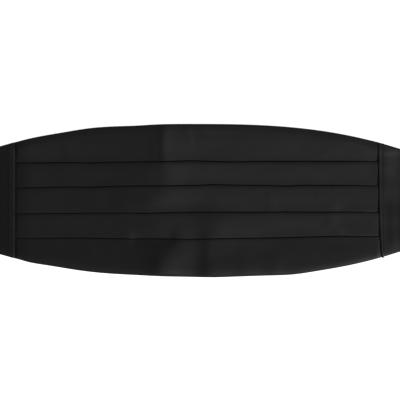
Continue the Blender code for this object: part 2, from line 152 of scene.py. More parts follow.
# Creases: lines from one point to another, with the width to the left and right of them, and their height.
CREASES = {
    "front": [
        {"x": (-28.5, -29.5), "y": (62.0, 34.0), "spread": (2.6, 6.0), "height": 0.30},
        {"x": (-35.8, -36.2), "y": (44.0, 33.0), "spread": (2.4, 2.4), "height": 0.13},
        {"x": (-10.0, -5.5), "y": (59.0, 49.5), "spread": (2.2, 2.2), "height": 0.15},
        {"x": (-3.5, 1.5), "y": (61.0, 54.5), "spread": (2.4, 2.4), "height": -0.14},
        {"x": (12.0, 16.0), "y": (60.0, 54.0), "spread": (3.0, 3.0), "height": -0.10},
        {"x": (-110.0, -104.0), "y": (42.0, 36.0), "spread": (2.4, 2.4), "height": 0.10},
        {"x": (-25.0, -26.0), "y": (28.0, 13.0), "spread": (7.0, 14.0), "height": 0.32},
        {"x": (-61.0, -59.0), "y": (-2.0, -8.0), "spread": (9.0, 9.0), "height": 0.30},
        {"x": (9.0, 9.5), "y": (-16.0, -27.0), "spread": (11.0, 24.0), "height": 0.38},
        {"x": (-50.0, -24.0), "y": (-32.5, -33.0), "spread": (5.0, 5.0), "height": -0.75},
        {"x": (-14.0, -30.0), "y": (-35.5, -52.0), "spread": (9.5, 18.0), "height": 1.10},
        {"x": (-30.0, -31.0), "y": (-57.0, -64.0), "spread": (8.0, 14.0), "height": 0.35},
        {"x": (11.0, 9.5), "y": (-37.0, -60.0), "spread": (7.5, 32.0), "height": 1.15},
        {"x": (41.0, 40.0), "y": (-45.0, -58.0), "spread": (8.0, 9.0), "height": 0.32},
        {"x": (14.0, 62.0), "y": (-57.0, -57.5), "spread": (9.0, 9.0), "height": 0.55},
        {"x": (60.0, 62.0), "y": (2.0, -8.0), "spread": (4.0, 4.0), "height": 0.14},
        {"x": (101.0, 113.0), "y": (4.0, -3.0), "spread": (3.5, 3.5), "height": 0.16},
        {"x": (110.0, 118.0), "y": (-19.0, -25.0), "spread": (3.5, 3.5), "height": 0.22},
        {"x": (121.0, 140.0), "y": (-15.0, -20.0), "spread": (7.0, 7.0), "height": -0.25},
        {"x": (-92.0, -88.0), "y": (-36.0, -42.0), "spread": (3.0, 3.0), "height": 0.12},
    ],
    "wing_left": [
        {"x": (-172.0, -186.0), "y": (36.0, 4.0), "spread": (6.0, 6.0), "height": 0.45},
        {"x": (-196.0, -190.0), "y": (-30.0, -4.0), "spread": (5.0, 5.0), "height": 0.40},
        {"x": (-228.0, -222.0), "y": (24.0, -20.0), "spread": (4.5, 4.5), "height": 0.55},
        {"x": (-256.0, -240.0), "y": (-12.0, 2.0), "spread": (4.0, 4.0), "height": 0.30},
    ],
    "wing_right": [
        {"x": (164.0, 164.5), "y": (-9.0, -30.0), "spread": (9.0, 14.0), "height": 0.65},
        {"x": (175.0, 177.0), "y": (-14.0, -30.0), "spread": (9.0, 8.0), "height": 1.20},
        {"x": (186.0, 203.0), "y": (34.0, 6.0), "spread": (6.5, 6.5), "height": 0.50},
        {"x": (222.0, 226.0), "y": (22.0, -24.0), "spread": (4.5, 4.5), "height": 0.50},
        {"x": (240.0, 262.0), "y": (4.0, -8.0), "spread": (4.0, 4.0), "height": 0.28},
    ],
}

# The wings.
LAP = 4.5  # of the front's end under a wing's edge
BESIDE_FRONT = 0.2  # from the front's end to a wing's first hems
TURNED_EDGE = 4.0  # of a wing's edge turned under
EDGE_BULGE = 0.45
LAP_LAYER = 0.8  # between the two layers of a wing's edge
STITCH_LINE = 2.7  # from a wing's edge
WING_END = 286.0
WING_END_HALF = 14.3
WING_END_SLOPE = -0.04
TURNED_END = 5.0  # of a wing's end turned under, on the strap
SEAM_LEAN = {-1: {"straight": 0.0, "lower": 0.0}, 1: {"straight": 0.7, "lower": 2.1}}
SAG = 0.3  # of a wing's lower layer between two folds
LAP_SPAN = {"low": 0.8, "high": 4.0}  # it hangs from this far under a fold to this far under the next
WING_LAYER = 0.44
STITCH_SINK = 0.06  # by which the stitches draw the cloth down
STITCH_DENT = 1.0  # how far that reaches to each side of the stitches
EDGE_PUFF = 0.04
FALL = {  # of a wing from the front: a share of it is steep, and the rest takes longer
    -1: {"from": 3.3, "share": 0.86, "tilt": 0.105, "slow": 45.0},
    1: {"from": 3.6, "share": 0.36, "tilt": 0.065, "slow": 45.0},
}
STEP_OFF = {-1: 0.25, 1: 0.0}  # by which a wing drops at once where the front's end stops
STEP_ZONE = {"before": 0.2, "over": 1.2}  # from just before that end
WING_SAG = 0.25  # by which a wing's middle is lower than its edges, which lie on its hems
WING_SAG_ZONE = 12.0  # over which it does so, inwards from the hems
OVER_STRAP = {"before": 7.0, "over": 6.0}  # where a wing rises on to the strap, before the strap's end
OVER_END = {"before": 5.0, "over": 4.0}  # and on to its own turned end
LOOSE = {"from": 4.0, "over": 8.0, "end": 12.0}  # creases come in from the seam on, and fade before the strap
EDGE_FADE = 6.0  # over which the waves fade to a wing's long edges
WING_POINTS = 84
WING_PITCH = 1.7
EDGE_ROWS = (TURNED_EDGE, 2.4, 1.0)  # places of the rows turned under along the seam
LAP_ROWS = (0.9, 1.4, 1.9, 2.4, 2.8, 3.2, 3.7, 4.2)  # of those that lie on the front
FALL_ROWS = (LAP + BESIDE_FRONT, 5.2, 6.0, 7.2, 8.4, 9.6, 11.0, 12.6, 14.6)  # of those that come down
END_ROWS = (-TURNED_END, -2.5, -0.8)  # of those turned under at the strap

# The straps and their fittings, mostly as in the solids. The ribs and the round edges are the scene's own.
WEBBING = 0.9
WEBBING_LEVEL = {"low": 0.5, "high": 1.55}
STRAP_WIDTH = 25.4
STRAP_TUCK = 18.0
STRAP_BESIDE_HEM = 0.3
RIBS = 22
RIB_POINTS = 4
RIB_HEIGHT = 0.07
STRAP_PITCH = 3.0
ARC_STEP = 10.0
RAMP_STEPS = 16

SLIDE_X = 340.0
SLIDE_BAR = 2.5
SLIDE_SLOT = 7.0
SLIDE_PITCH = SLIDE_BAR + SLIDE_SLOT
SLIDE_THICK = 1.6
SLIDE_Z = 2.75
SLIDE_RISE = 0.65
SLIDE_HALF_WIDTH = 16.3
SLOT_HALF_WIDTH = 13.1
PLATE_CORNER = 2.5
SLOT_CORNER = 0.8
PLATE_EDGE = 0.45
OVER_BAR_Z = 5.75
OVER_BAR_HALF = 1.0
LOOP_TURN = 0.8  # radius of the strap's middle round the slide's middle bar
LOOP_START = {"along": 4.2, "up": 0.15}
LOOP_END = {"along": 0.15, "up": 0.35}
BESIDE_LOOP = 1.3  # from the loop's start to where the strap stops lying level
UNDER_BAR_RISE = 0.25  # of the strap under the slide's last bar, over its upper level
SLIDE_EXIT = 8.0  # over which the strap settles after the slide

HOOK_X = 415.0
HOOK_Z = 4.0
HOOK_BAR = 2.0
HOOK_SLOT = 6.0
HOOK_BODY = 6.0
HOOK_THICK = 1.6
HOOK_TURN = 2.08  # radius of the strap's middle round the hook's bar
HOOK_RISE = 17.0
HOOK_FALL = 10.0
HOOK_WRAP = 0.6
TONGUE_HALF_WIDTH = 7.0
TONGUE_THICK = 1.2
TONGUE_REACH = 19.4
TONGUE_DEPTH = 3.4
TONGUE_RETURN = 8.0
TONGUE_ROOT = 1.2
TONGUE_LIP = 0.35
TONGUE_EDGE = 0.3

RING_LENGTH = 12.0
RING_WIRE = 1.0
RING_HALF_WIDTH = 15.3
RING_CORNER = 2.6
RING_X = RING_LENGTH + RING_WIRE - HOOK_X - TONGUE_REACH
RING_Z = 2.3
RING_TAB = 22.0
RING_LOOP = 10.0

# Stitches.
THREAD = 0.13  # radius
STITCH = 2.2
STITCH_GAP = 0.45
STITCH_SIDES = 6
STITCH_RINGS = 5
THREAD_RISE = 1.7  # of a stitch's middle over its ends, in radii
THREAD_SINK = 0.9  # of its ends in the cloth, in radii
SEAM_STITCH_SHARE = 0.985  # of a wing's height that the seam's stitches take
END_STITCHES = (2.2, 8.5)  # from a wing's end
END_STITCH_INSET = 0.06  # from the strap's edges, as a share of the wing's half height
STRAP_STITCH_INSET = 1.6  # from the strap's edges
TAB_STITCHES = {"after_loop": 1.5, "before_end": 2.0}  # along the strap that is sewn round the ring

# Meshes and materials.
RING_SIDES = 20
SAME_PLACE = 0.01  # points of the ring that are closer are one
WELD = 0.005  # points of a plate that are closer are joined
NOISE_RANGE = (0.3, 0.7)  # in which most values of a noise lie

# The studio. A lamp's turn is counted from +X towards +Y, and up from the floor, in degrees.
LAMPS = [
    {"turn": -35.0, "up": 42.0, "distance": 4.0, "size": 1.4, "power": 85.0},
]
ROOM = 0.100  # strength of the white light from all sides
FLOOR_GLOW = 1.0  # so that the floor shows as white as the photo's
FLOOR_GREY = 0.9
FLOOR_ROUGHNESS = 0.9
FLOOR_SIZE = 30.0  # metres
FLOOR_BELOW = 0.2  # under the garment

# The photo spans 332 mm of the table, and its middle lies a little to the right of the garment's.
PHOTO_WIDTH = 332.0
PHOTO_MIDDLE = (2.0, 0.25)
LENS = 250.0
SENSOR = 36.0
CLIP = (0.01, 100.0)  # metres


def smooth(t):
    """0 to 1 with level ends."""
    t = min(max(t, 0.0), 1.0)
    return t * t * (3 - 2 * t)


def slope(share, ease=BAND_EASE):
    """0 to 1, straight but for its ends."""
    share = min(max(share, 0.0), 1.0)
    return (1 - ease) * share + ease * smooth(share)


def between(a, b, t):
    return a + (b - a) * t


def bell(distance, spread):
    return math.exp(-((distance / spread) ** 2))


def evenly(start, end, count):
    """Places from start to end, without start."""
    return [between(start, end, step / count) for step in range(1, count + 1)]


def side_of(x):
    return 1 if x > 0 else -1


def outline(x):
    """Half of the garment's height at x."""
    side = side_of(x)
    half, drop, power, seam = FRONT_HEIGHT / 2, SEAM_DROP[side], OUTLINE_POWER[side], SEAM[side]
    if abs(x) <= seam:
        return half - drop * (abs(x) / seam) ** power
    span = WING_END - seam
    t = (abs(x) - seam) / span
    seam_slope = -power * drop / seam
    return (
        (1 + 2 * t) * (1 - t) ** 2 * (half - drop)
        + t * (1 - t) ** 2 * span * seam_slope
        + t * t * (3 - 2 * t) * WING_END_HALF
        + t * t * (t - 1) * span * WING_END_SLOPE
    )


def edge_bend(x):
    """y of the middle of the bend along the upper edge."""
    return outline(x) - SATIN / 2 - BEND


def fold_lines(x):
    """y of each pleat's folded edge at x, from the top one down. Each fold faces up."""
    t = x / SEAM[side_of(x)]
    lines = []
    for number, fold in enumerate(FOLDS):
        tilt, curve = (fold["right"] - fold["left"]) / 2, (fold["right"] + fold["left"]) / 2 - fold["middle"]
        place = Vector((x / WANDER_WAVE, WANDER_APART * number, WANDER_PLACE))
        stray = WANDER * noise.noise(place)
        stray += sum(s["by"] * bell(x - s["x"], s["spread"]) for s in STRAYS if s["fold"] == number)
        lines.append(fold["middle"] + tilt * t + curve * t * t + stray)
    return lines


def crease_height(piece, x, y):
    """How far a piece's creases raise its cloth at a point."""
    height = 0.0
    point = Vector((x, y))
    for crease in CREASES[piece]:
        start = Vector((crease["x"][0], crease["y"][0]))
        along = Vector((crease["x"][1], crease["y"][1])) - start
        share = min(max((point - start).dot(along) / along.length_squared, 0.0), 1.0)
        away = point - start - along * share
        distance = away.length
        rightness = (1 + away.x / distance) / 2 if distance else 0.5
        height += crease["height"] * bell(distance, between(*crease["spread"], rightness))
    return height


def unevenness(x, y):
    """Small waves of cloth that was pressed by hand."""
    height = 0.0
    for wave in WAVES:
        place = Vector((x / wave["along"], y / wave["across"], wave["place"]))
        height += wave["height"] * noise.noise(place)
    return height


# The front.


def from_seam(x):
    """Distance from the nearer seam, inwards."""
    return SEAM[side_of(x)] - abs(x)


def edge_stray(x, y):
    """How far up or down the cloth at a point lies, where the edge near it strays from its line."""
    side = side_of(y)
    near = smooth((abs(y) - outline(x) + EDGE_ZONE) / EDGE_ZONE) * smooth(from_seam(x) / EDGE_ZONE)
    outwards = sum(s["out"] * bell(x - s["x"], s["spread"]) for s in EDGE_STRAYS if s["edge"] == side)
    return side * near * outwards


def fold_mark(y):
    """x and roundness of the fold mark at y."""
    for above, below in zip(FOLD_MARK, FOLD_MARK[1:]):
        if y >= below["y"]:
            break
    share = smooth((above["y"] - y) / (above["y"] - below["y"]))
    return [between(above[key], below[key], share) for key in ("x", "round")]


def lift(x, y):
    """How far the fold mark and the creases raise every layer of the front."""
    place, rounding = fold_mark(y)
    away = math.hypot(x - place, rounding) - rounding
    height = FOLD_MARK_HEIGHT * math.exp(-away / FOLD_MARK_LENGTH) + crease_height("front", x, y)
    return height * smooth(from_seam(x) / LIFT_ZONE)


def pressed(x, height):
    """A height of the front's cloth at x, less what the seam presses out of it."""
    kept = 1.0
    for press in PRESSED[side_of(x)]:
        kept -= press["share"] * smooth((press["from"] - from_seam(x)) / (press["from"] - press["to"]))
    return LEVEL[0] + (height - LEVEL[0]) * kept


def plain_height(x, y):
    """Height of the middle of the front's visible cloth, without creases."""
    folds, edge = fold_lines(x), edge_bend(x)
    band = sum(y <= fold for fold in folds) - 1
    if band < len(folds) - 1:
        at_seam = smooth(1 - (from_seam(x) - SEAM_TAIL_FADE["from"]) / SEAM_TAIL_FADE["over"])
        rightness = smooth(0.5 + (x - SIDE_TAIL_CHANGE["middle"]) / SIDE_TAIL_CHANGE["over"])
        tail = LEVEL[0] + TAILS[band + 1] + SEAM_TAIL[side_of(x)] * at_seam
        tail += between(SIDE_TAIL[-1], SIDE_TAIL[1], rightness)
    if band < 0:
        inwards = edge - y
        crest = TOP_EDGE + RIM_RISE[side_of(x)]
        if inwards < RIM:
            return between(TOP_EDGE, crest, 1 - (1 - max(inwards, 0.0) / RIM) ** 2)
        start = folds[0] + BAND_FOOT
        return between(tail, crest, slope((y - start) / (edge - RIM - start), TOP_BAND_EASE))
    down = folds[band] - y
    roll = ROLL_DEPTH * math.exp(-down / ROLL_LENGTH)
    if band == len(folds) - 1:
        top = LEVEL[2] + LOW_RISE * smooth(down / (folds[band] + edge))
        low_edge = between(LOW_EDGE[-1], LOW_EDGE[1], smooth(0.5 + x / LOW_EDGE_CHANGE))
        return top - roll - (top - low_edge) * math.exp(-max(y + edge, 0.0) / LOW_RIM)
    start, end = BAND_CREST, folds[band] - folds[band + 1] - BAND_FOOT
    return between(LEVEL[2], tail, slope((down - start) / (end - start))) - roll


def front_face(x, y):
    """Height of the middle of the front's visible cloth."""
    waves = unevenness(x, y) * smooth(from_seam(x) / WAVE_ZONE)
    return pressed(x, plain_height(x, y)) + lift(x, y) + waves


def half_turn(y, low, high, side):
    """A half turn of cloth from height low to height high, bulging towards side."""
    points = []
    for step in range(BEND_STEPS + 1):
        angle = math.pi * (step / BEND_STEPS - 0.5)
        points.append((y + side * BEND * math.cos(angle), between(low, high, (1 + math.sin(angle)) / 2)))
    return points


def front_section(x):
    """(y, z) along the front's cloth at x, from the raw edge of its upper hem to that of its lower hem."""
    folds, edge = fold_lines(x), edge_bend(x)
    hem = outline(x) - HEM

    def under(y, level):
        return (y, pressed(x, LEVEL[level]) + lift(x, y))

    def over(y):
        return (y, front_face(x, y))

    points = [under(hem, 0), under(between(hem, edge, 0.5), 0)]
    points += half_turn(edge, under(edge, 0)[1], over(edge)[1], 1)
    start = edge
    for number, fold in enumerate(folds):
        end = fold + UNDER_FOLD
        inner, outer = fold - UNDERLAY, fold - SATIN / 2 - BEND
        points += [over(y) for y in evenly(start, end, BAND_POINTS if number else EDGE_BAND_POINTS)]
        points += [under(between(end, inner, share), 0) for share in UNDER_SHARES]
        points += half_turn(inner, under(inner, 0)[1], under(inner, 1)[1], -1)
        points.append(under(between(inner, outer, 0.5), 1))
        points += half_turn(outer, under(outer, 1)[1], over(outer)[1], 1)
        points += [over(outer - step) for step in ROLL_PLACES]
        start = outer - ROLL_PLACES[-1]
    points += [over(y) for y in evenly(start, -edge, EDGE_BAND_POINTS)][:-1]
    points += half_turn(-edge, under(-edge, 0)[1], over(-edge)[1], -1)[::-1]
    return points + [under(-between(hem, edge, 0.5), 0), under(-hem, 0)]


def front_stations():
    """The places of the front's sections, closer together beside the seams."""
    left, right = -SEAM[-1], SEAM[1]
    parts = [
        (left - LAP, left + SEAM_ZONE, SEAM_PITCH),
        (left + SEAM_ZONE, right - SEAM_ZONE, FRONT_PITCH),
        (right - SEAM_ZONE, right + LAP, SEAM_PITCH),
    ]
    stations = [left - LAP]
    for start, end, pitch in parts:
        stations += evenly(start, end, round((end - start) / pitch))
    return stations


# The wings.


def lap_height(x, y):
    """Height of the middle of a wing's lower layer where it lies on the front, from fold to fold."""
    folds, edge = fold_lines(x), edge_bend(x)
    y = min(max(y, -edge), edge)
    below = plain_height(x, y)
    for number, fold in enumerate(folds):
        low = fold - LAP_SPAN["low"]
        high = edge - RIM if number == 0 else folds[number - 1] - LAP_SPAN["high"]
        if low <= y <= high:
            share = (y - low) / (high - low)
            level = between(plain_height(x, low), plain_height(x, high), share)
            below = level - SAG * math.sin(math.pi * share) ** 2
    return pressed(x, below) + SATIN + CLEAR


def rest_height(x, y):
    """Height of a wing's cloth once it has come down: on its own hems, and on the strap at its end."""
    edges = LEVEL[0] + WING_LAYER
    middle = edges - WING_SAG * smooth((outline(x) - HEM - abs(y)) / WING_SAG_ZONE)
    on_strap = WEBBING_LEVEL["low"] + WEBBING / 2 + SATIN / 2 + CLEAR
    on_strap += WING_LAYER * smooth((abs(x) - WING_END + TURNED_END + OVER_END["before"]) / OVER_END["over"])
    over_tuck = smooth((abs(x) - WING_END + STRAP_TUCK + OVER_STRAP["before"]) / OVER_STRAP["over"])
    return between(middle, on_strap, over_tuck)


def wing_face(name, out, y):
    """Height of the middle of a wing's upper cloth at a distance out from its edge."""
    side = SIDES[name]
    x = side * (SEAM[side] + out)
    lap = lap_height(side * (SEAM[side] + min(out, LAP)), y) + LAP_LAYER
    rest = rest_height(x, y)
    fall, fallen = FALL[side], out - FALL[side]["from"]
    lap -= STEP_OFF[side] * smooth((out - LAP + STEP_ZONE["before"]) / STEP_ZONE["over"])
    steep = fall["share"] * (lap - rest) / fall["tilt"]
    height = between(lap, rest, between(smooth(fallen / fall["slow"]), slope(fallen / steep), fall["share"]))
    if out < STITCH_LINE:
        height += EDGE_PUFF * math.sin(math.pi * out / STITCH_LINE)
    height -= STITCH_SINK * bell(out - STITCH_LINE, STITCH_DENT)
    loose = smooth((out - LOOSE["from"]) / LOOSE["over"])
    loose *= smooth((WING_END - STRAP_TUCK - abs(x)) / LOOSE["end"])
    inside = smooth((outline(x) - abs(y)) / EDGE_FADE)
    return height + crease_height(name, x, y) * loose + unevenness(x, y) * loose * inside


def seam_lean(side, share):
    """How far out a wing's edge lies. share is 1 at its upper end and -1 at its lower end."""
    lean = SEAM_LEAN[side]
    return -lean["straight"] * share + lean["lower"] * max(-share, 0.0) ** 3


def wing_point(name, out, share, layer=0.0):
    """A point of a wing. share runs from 1 at its upper edge to -1 at its lower edge."""
    side = SIDES[name]
    x = side * (SEAM[side] + out)
    reach = outline(x) if out <= LAP else edge_bend(x)
    lean = seam_lean(side, share) * (1 - smooth(out / LAP))
    return (x + side * lean, share * reach, wing_face(name, out, share * reach) - layer)


def turned_rows(name, place, towards, apart, back):
    """Rows of cloth turned under at a wing's edge or end, from its raw edge to the top of the bend.

    The two layers lie apart by a distance, and back gives the places of the rows in the lower one.
    """
    shares = wing_shares()
    side = SIDES[name]
    rows = [[wing_point(name, place + out, s, apart) for s in shares] for out in back]
    for step in range(BEND_STEPS + 1):
        angle = math.pi * step / BEND_STEPS
        layer = apart * (1 + math.cos(angle)) / 2
        shift = side * towards * EDGE_BULGE * math.sin(angle)
        row = [wing_point(name, place, s, layer) for s in shares]
        rows.append([(x + shift, y, z) for x, y, z in row])
    return rows


def wing_shares():
    return [1.0] + evenly(1.0, -1.0, WING_POINTS)


def wing_row(name, out):
    """A row across a wing beside the front, with its hems."""
    side = SIDES[name]
    x = side * (SEAM[side] + out)
    half, edge = outline(x), edge_bend(x)
    hem = half - min(HEM, half - STRAP_WIDTH / 2 - STRAP_BESIDE_HEM)
    middle = [wing_point(name, out, s) for s in wing_shares()]
    upper = [(x, y, z) for y, z in half_turn(edge, LEVEL[0], middle[0][2], 1)[:-1]]
    lower = [(x, y, z) for y, z in half_turn(-edge, LEVEL[0], middle[-1][2], -1)[:-1]]
    hems = [(x, hem, LEVEL[0]), (x, between(hem, edge, 0.5), LEVEL[0])]
    return hems + upper + middle + lower[::-1] + [(x, -y, z) for _, y, z in hems[::-1]]


def wing_rows(name):
    """The rows of a wing, from its raw edge under the seam to its raw edge on the strap."""
    side = SIDES[name]
    end = WING_END - SEAM[side] - SATIN / 2
    missing = [None] * (BEND_STEPS + 2)
    rows = turned_rows(name, EDGE_BULGE, -1, LAP_LAYER, EDGE_ROWS)
    rows += [[wing_point(name, out, s) for s in wing_shares()] for out in LAP_ROWS]
    rows = [missing + row + missing for row in rows]
    fallen, last = FALL_ROWS[-1], end - EDGE_BULGE
    level_rows = evenly(fallen, last, round((last - fallen) / WING_PITCH))
    rows += [wing_row(name, out) for out in (*FALL_ROWS, *level_rows)]
    turned = turned_rows(name, last, 1, WING_LAYER, END_ROWS)
    return rows + [missing + row + missing for row in turned[::-1]]


# The straps.


def arc(x, z, radius, first, last):
    """Points round a centre from angle first to angle last, in degrees from +X towards +Z."""
    count = max(1, round(abs(last - first) / ARC_STEP))
    angles = [math.radians(between(first, last, n / count)) for n in range(count + 1)]
    return [(x + radius * math.cos(a), z + radius * math.sin(a)) for a in angles]


def ramp(start, end):
    """Points that ease from one height to another, without the first one."""
    points = []
    for step in range(1, RAMP_STEPS + 1):
        t = step / RAMP_STEPS
        rise = (1 - math.cos(math.pi * t)) / 2
        points.append((between(start[0], end[0], t), between(start[1], end[1], rise)))
    return points


def level(path, x):
    """Points on from the end of a path to x at its height."""
    start, height = path[-1]
    return [(place, height) for place in evenly(start, x, max(1, round(abs(x - start) / STRAP_PITCH)))]


def left_strap_path():
    """(x, z) of the left strap: out from the wing, under the ring's bar, round it and back on itself."""
    low, high = WEBBING_LEVEL["low"], WEBBING_LEVEL["high"]
    path = [(-(WING_END - STRAP_TUCK), low)]
    path += level(path, RING_X + RING_LOOP)
    path += level(path, RING_X)
    path += arc(RING_X, RING_Z, RING_Z - low, -90, -270)[1:]
    path += ramp(path[-1], (RING_X + RING_LOOP, high))
    return path + level(path, RING_X + RING_TAB)


def right_strap_path():
    """(x, z) of the right strap.

    It runs under the slide's first bar, over its middle bar, under its last bar, round the hook's bar,
    back along the table, and round the slide's middle bar.
    """
    low, high = WEBBING_LEVEL["low"], WEBBING_LEVEL["high"]
    clear = SLIDE_PITCH - SLIDE_BAR / 2
    path = [(WING_END - STRAP_TUCK, low)]
    path += level(path, SLIDE_X - clear)
    path += ramp(path[-1], (SLIDE_X - OVER_BAR_HALF, OVER_BAR_Z))
    path.append((SLIDE_X + OVER_BAR_HALF, OVER_BAR_Z))
    path += ramp(path[-1], (SLIDE_X + clear, high + UNDER_BAR_RISE))
    path += level(path, SLIDE_X + clear + SLIDE_BAR)
    path += ramp(path[-1], (path[-1][0] + SLIDE_EXIT, high))
    path += level(path, HOOK_X - HOOK_RISE)
    path += ramp(path[-1], (HOOK_X - HOOK_WRAP, HOOK_Z + HOOK_TURN))
    path += arc(HOOK_X, HOOK_Z, HOOK_TURN, 90, -90)
    path += ramp(path[-1], (HOOK_X - HOOK_FALL, low))
    path += level(path, SLIDE_X + LOOP_START["along"] + BESIDE_LOOP)
    return path + slide_loop()


def slide_loop():
    """The end of the right strap, sewn round the slide's middle bar."""
    half = SLIDE_BAR / 2
    top, low = SLIDE_Z + SLIDE_THICK / 2, SLIDE_Z - SLIDE_THICK / 2
    path = [(SLIDE_X + LOOP_START["along"], WEBBING_LEVEL["low"] + LOOP_START["up"])]
    path += arc(SLIDE_X + half, low, LOOP_TURN, -70, -90)
    path += arc(SLIDE_X - half, low, LOOP_TURN, -90, -180)
    path += arc(SLIDE_X - half, top, LOOP_TURN, 180, 90)
    path += arc(SLIDE_X + half, top, LOOP_TURN, 90, 0)
    return path + [(SLIDE_X + half + LOOP_TURN + LOOP_END["along"], low + LOOP_TURN + LOOP_END["up"])]


def path_length(path):
    return sum(math.dist(a, b) for a, b in zip(path, path[1:]))


def webbing_rows(path):
    """A strap along a path of (x, z), with fine ribs along its length."""
    count = RIBS * RIB_POINTS
    rows = []
    for n, (x, z) in enumerate(path):
        before, after = Vector(path[max(n - 1, 0)]), Vector(path[min(n + 1, len(path) - 1)])
        normal = Vector((-(after - before).y, (after - before).x)).normalized()
        row = []
        for step in range(count + 1):
            rise = -RIB_HEIGHT * math.cos(2 * math.pi * step / RIB_POINTS)
            row.append((x + normal.x * rise, STRAP_WIDTH * (0.5 - step / count), z + normal.y * rise))
        rows.append(row)
    return rows


# Meshes.


def new_object(name, mesh, material):
    mesh.materials.append(material)
    mesh.shade_smooth()
    obj = bpy.data.objects.new(name, mesh)
    bpy.context.scene.collection.objects.link(obj)
    return obj


def cloth_object(name, rows, material, thickness):
    """A cloth through rows of points. Its map is in metres of cloth: across the rows, then along them."""
    points, index, lengths = [], {}, {}
    across = 0.0
    for i, row in enumerate(rows):
        if i:
            steps = sorted(math.dist(a, b) for a, b in zip(rows[i - 1], row) if a and b)
            across += steps[len(steps) // 2]
        along = 0.0
        for j, point in enumerate(row):
            if point is None:
                continue
            if j and row[j - 1] is not None:
                along += math.dist(row[j - 1], point)
            index[i, j] = len(points)
            lengths[i, j] = (across * MM, along * MM)
            points.append(Vector(point) * MM)
    quads, maps = [], []
    for i in range(len(rows) - 1):
        for j in range(len(rows[i]) - 1):
            corners = [(i, j), (i, j + 1), (i + 1, j + 1), (i + 1, j)]
            if all(corner in index for corner in corners):
                quads.append([index[corner] for corner in corners])
                maps += [value for corner in corners for value in lengths[corner]]
    mesh = bpy.data.meshes.new(name)
    mesh.from_pydata(points, [], quads)
    mesh.uv_layers.new(name="cloth").data.foreach_set("uv", maps)
    obj = new_object(name, mesh, material)
    wall = obj.modifiers.new("wall", "SOLIDIFY")
    wall.thickness = thickness * MM
    wall.offset = 0.0
    return obj


def rounded_rectangle(x_low, x_high, half_width, corner):
    """Points round a rectangle with round corners, anticlockwise."""
    centres = [
        (x_high - corner, half_width - corner, 0),
        (x_low + corner, half_width - corner, 90),
        (x_low + corner, corner - half_width, 180),
        (x_high - corner, corner - half_width, 270),
    ]
    return [point for x, y, angle in centres for point in arc(x, y, corner, angle, angle + 90)]


def plate_mesh(name, outlines, thick):
    """A flat plate with holes and round edges: the first outline is its rim and the others are its slots."""
    curve = bpy.data.curves.new(name, "CURVE")
    curve.dimensions = "2D"
    curve.fill_mode = "BOTH"
    curve.extrude = (thick / 2 - PLATE_EDGE) * MM
    curve.bevel_depth = PLATE_EDGE * MM
    curve.bevel_resolution = 4
    curve.offset = -PLATE_EDGE * MM
    for points in outlines:
        spline = curve.splines.new("POLY")
        spline.points.add(len(points) - 1)
        spline.use_cyclic_u = True
        for target, (x, y) in zip(spline.points, points):
            target.co = (x * MM, y * MM, 0.0, 1.0)
    holder = bpy.data.objects.new(name + "_outline", curve)
    bpy.context.scene.collection.objects.link(holder)
    graph = bpy.context.evaluated_depsgraph_get()
    mesh = bpy.data.meshes.new_from_object(holder.evaluated_get(graph))
    mesh.name = name
    mesh.materials.clear()
    bpy.data.objects.remove(holder)
    bm = bmesh.new()
    bm.from_mesh(mesh)
    bmesh.ops.remove_doubles(bm, verts=bm.verts, dist=WELD * MM)
    bm.to_mesh(mesh)
    bm.free()
    return mesh


def sharpen(obj, degrees=35):
    obj.data.set_sharp_from_angle(angle=math.radians(degrees))
    return obj


def ring_points(centre, across, up, radius, sides):
    """Points round a tube."""
    angles = [2 * math.pi * n / sides for n in range(sides)]
    return [centre + across * (radius * math.cos(a)) + up * (radius * math.sin(a)) for a in angles]


def tube_faces(start, rings, sides, closed=False):
    """Quads between rings of points that follow each other from the index start."""
    faces = []
    for ring in range(rings if closed else rings - 1):
        after = (ring + 1) % rings
        for side in range(sides):
            follow = (side + 1) % sides
            corners = ((ring, side), (ring, follow), (after, follow), (after, side))
            faces.append([start + r * sides + s for r, s in corners])
    if not closed:
        faces.append([start + s for s in range(sides)][::-1])
        faces.append([start + (rings - 1) * sides + s for s in range(sides)])
    return faces


def places_along(path, step, gap):
    """(start, end) lengths of the stitches that fit on a path of points."""
    total = path_length(path)
    count = max(1, int((total + gap) / (step + gap)))
    pitch = total / count
    return [(n * pitch + gap / 2, (n + 1) * pitch - gap / 2) for n in range(count)]


def at_length(path, length):
    """The point at a length along a path."""
    for a, b in zip(path, path[1:]):
        part = math.dist(a, b)
        if length <= part:
            return Vector(a).lerp(Vector(b), length / part)
        length -= part
    return Vector(path[-1])


def stitches_object(name, paths, material):
    """Rows of stitches, each a short thread that rises out of the cloth's surface and goes back in."""
    points, faces = [], []
    up = Vector((0, 0, 1))
    for path in paths:
        for start, end in places_along(path, STITCH, STITCH_GAP):
            across = (at_length(path, end) - at_length(path, start)).cross(up).normalized()
            first = len(points)
            for n in range(STITCH_RINGS):
                t = n / (STITCH_RINGS - 1)
                rise = THREAD * (THREAD_RISE * math.sin(math.pi * t) - THREAD_SINK)
                centre = at_length(path, between(start, end, t)) + up * rise
                points += [p * MM for p in ring_points(centre, across, up, THREAD, STITCH_SIDES)]
            faces += tube_faces(first, STITCH_RINGS, STITCH_SIDES)
    mesh = bpy.data.meshes.new(name)
    mesh.from_pydata(points, [], faces)
    return new_object(name, mesh, material)


# Materials.


def new_material(name):
    made = bpy.data.materials.new(name)
    made.use_nodes = True
    return made, made.node_tree, made.node_tree.nodes["Principled BSDF"]


def add(tree, kind, **values):
    """A node with its sockets or settings."""
    node = tree.nodes.new(kind)
    for key, value in values.items():
        if key in node.inputs:
            node.inputs[key].default_value = value
        else:
            setattr(node, key, value)
    return node


